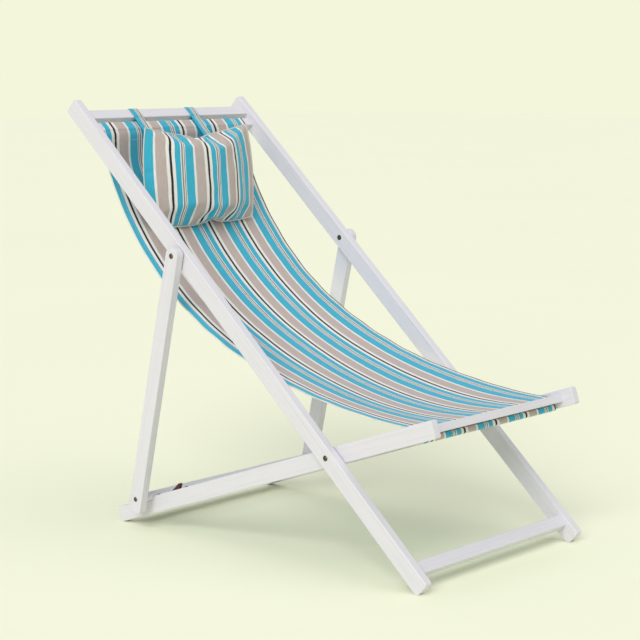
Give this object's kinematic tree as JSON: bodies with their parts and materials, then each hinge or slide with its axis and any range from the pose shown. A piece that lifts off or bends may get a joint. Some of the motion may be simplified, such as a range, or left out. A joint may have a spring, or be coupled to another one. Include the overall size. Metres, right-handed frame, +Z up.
{
  "type": "folding beach chair",
  "caption": "Folding deck chair: crossed wooden frames and a notched prop hold a hanging striped sling seat with a strapped-on head pillow.",
  "frame": {"origin": "bottom centre of the chair's box, on the surface it stands on", "axes": "+Z up, the sitter faces -Y, X = 0 is the plane of symmetry"},
  "size_m": [0.5958, 1.037, 0.9571],
  "materials": {
    "painted_timber": "satin white paint",
    "hardwood": "oiled",
    "bronzed_steel": "antique bronze",
    "black_rubber": "matt",
    "striped_canvas": "woven stripes",
    "pillow_canvas": "woven stripes, filled"
  },
  "bodies": {
    "long_frame": {"long_rail_left": "painted_timber", "long_rail_right": "painted_timber", "top_crossbar": "painted_timber", "top_sling_bar": "painted_timber", "foot_crossbar": "painted_timber", "crossing_bolts": "bronzed_steel", "crossing_washers": "bronzed_steel", "crossing_nuts": "bronzed_steel", "prop_pivot_bolts": "bronzed_steel", "prop_pivot_washers": "bronzed_steel", "prop_pivot_nuts": "bronzed_steel", "sling_cloth": "striped_canvas", "sling_top_pocket": "striped_canvas"},
    "seat_frame": {"seat_rail_left": "painted_timber", "seat_rail_right": "painted_timber", "front_crossbar": "painted_timber", "front_sling_bar": "painted_timber", "rear_crossbar": "painted_timber", "sling_front_pocket": "striped_canvas", "stop_wedges": "hardwood", "rail_studs": "black_rubber"},
    "prop_frame": {"prop_strut_left": "painted_timber", "prop_strut_right": "painted_timber", "prop_dowel": "painted_timber", "dowel_screws": "bronzed_steel"},
    "pillow": {"head_pillow": "pillow_canvas", "pillow_strap_left": "striped_canvas", "pillow_strap_right": "striped_canvas"}
  },
  "joints": [
    {"name": "seat_fold", "type": "hinge", "parent": "long_frame", "child": "seat_frame", "pos_m": [0, -0.25392, 0.24], "axis": [1, 0, 0], "range_deg": [0, 60], "deforming": ["sling_cloth"]},
    {"name": "prop_swing", "type": "hinge", "parent": "long_frame", "child": "prop_frame", "pos_m": [0, 0.16453, 0.62748], "axis": [1, 0, 0], "range_deg": [0, 125]},
    {"name": "pillow_swing", "type": "hinge", "parent": "long_frame", "child": "pillow", "pos_m": [0, 0.47871, 0.91842], "axis": [1, 0, 0], "range_deg": [-75, 0], "deforming": ["pillow_strap_left", "pillow_strap_right"]}
  ],
  "couplings": [
    {"joint": "prop_swing", "follows": "seat_fold", "ratio": 2.08}
  ]
}
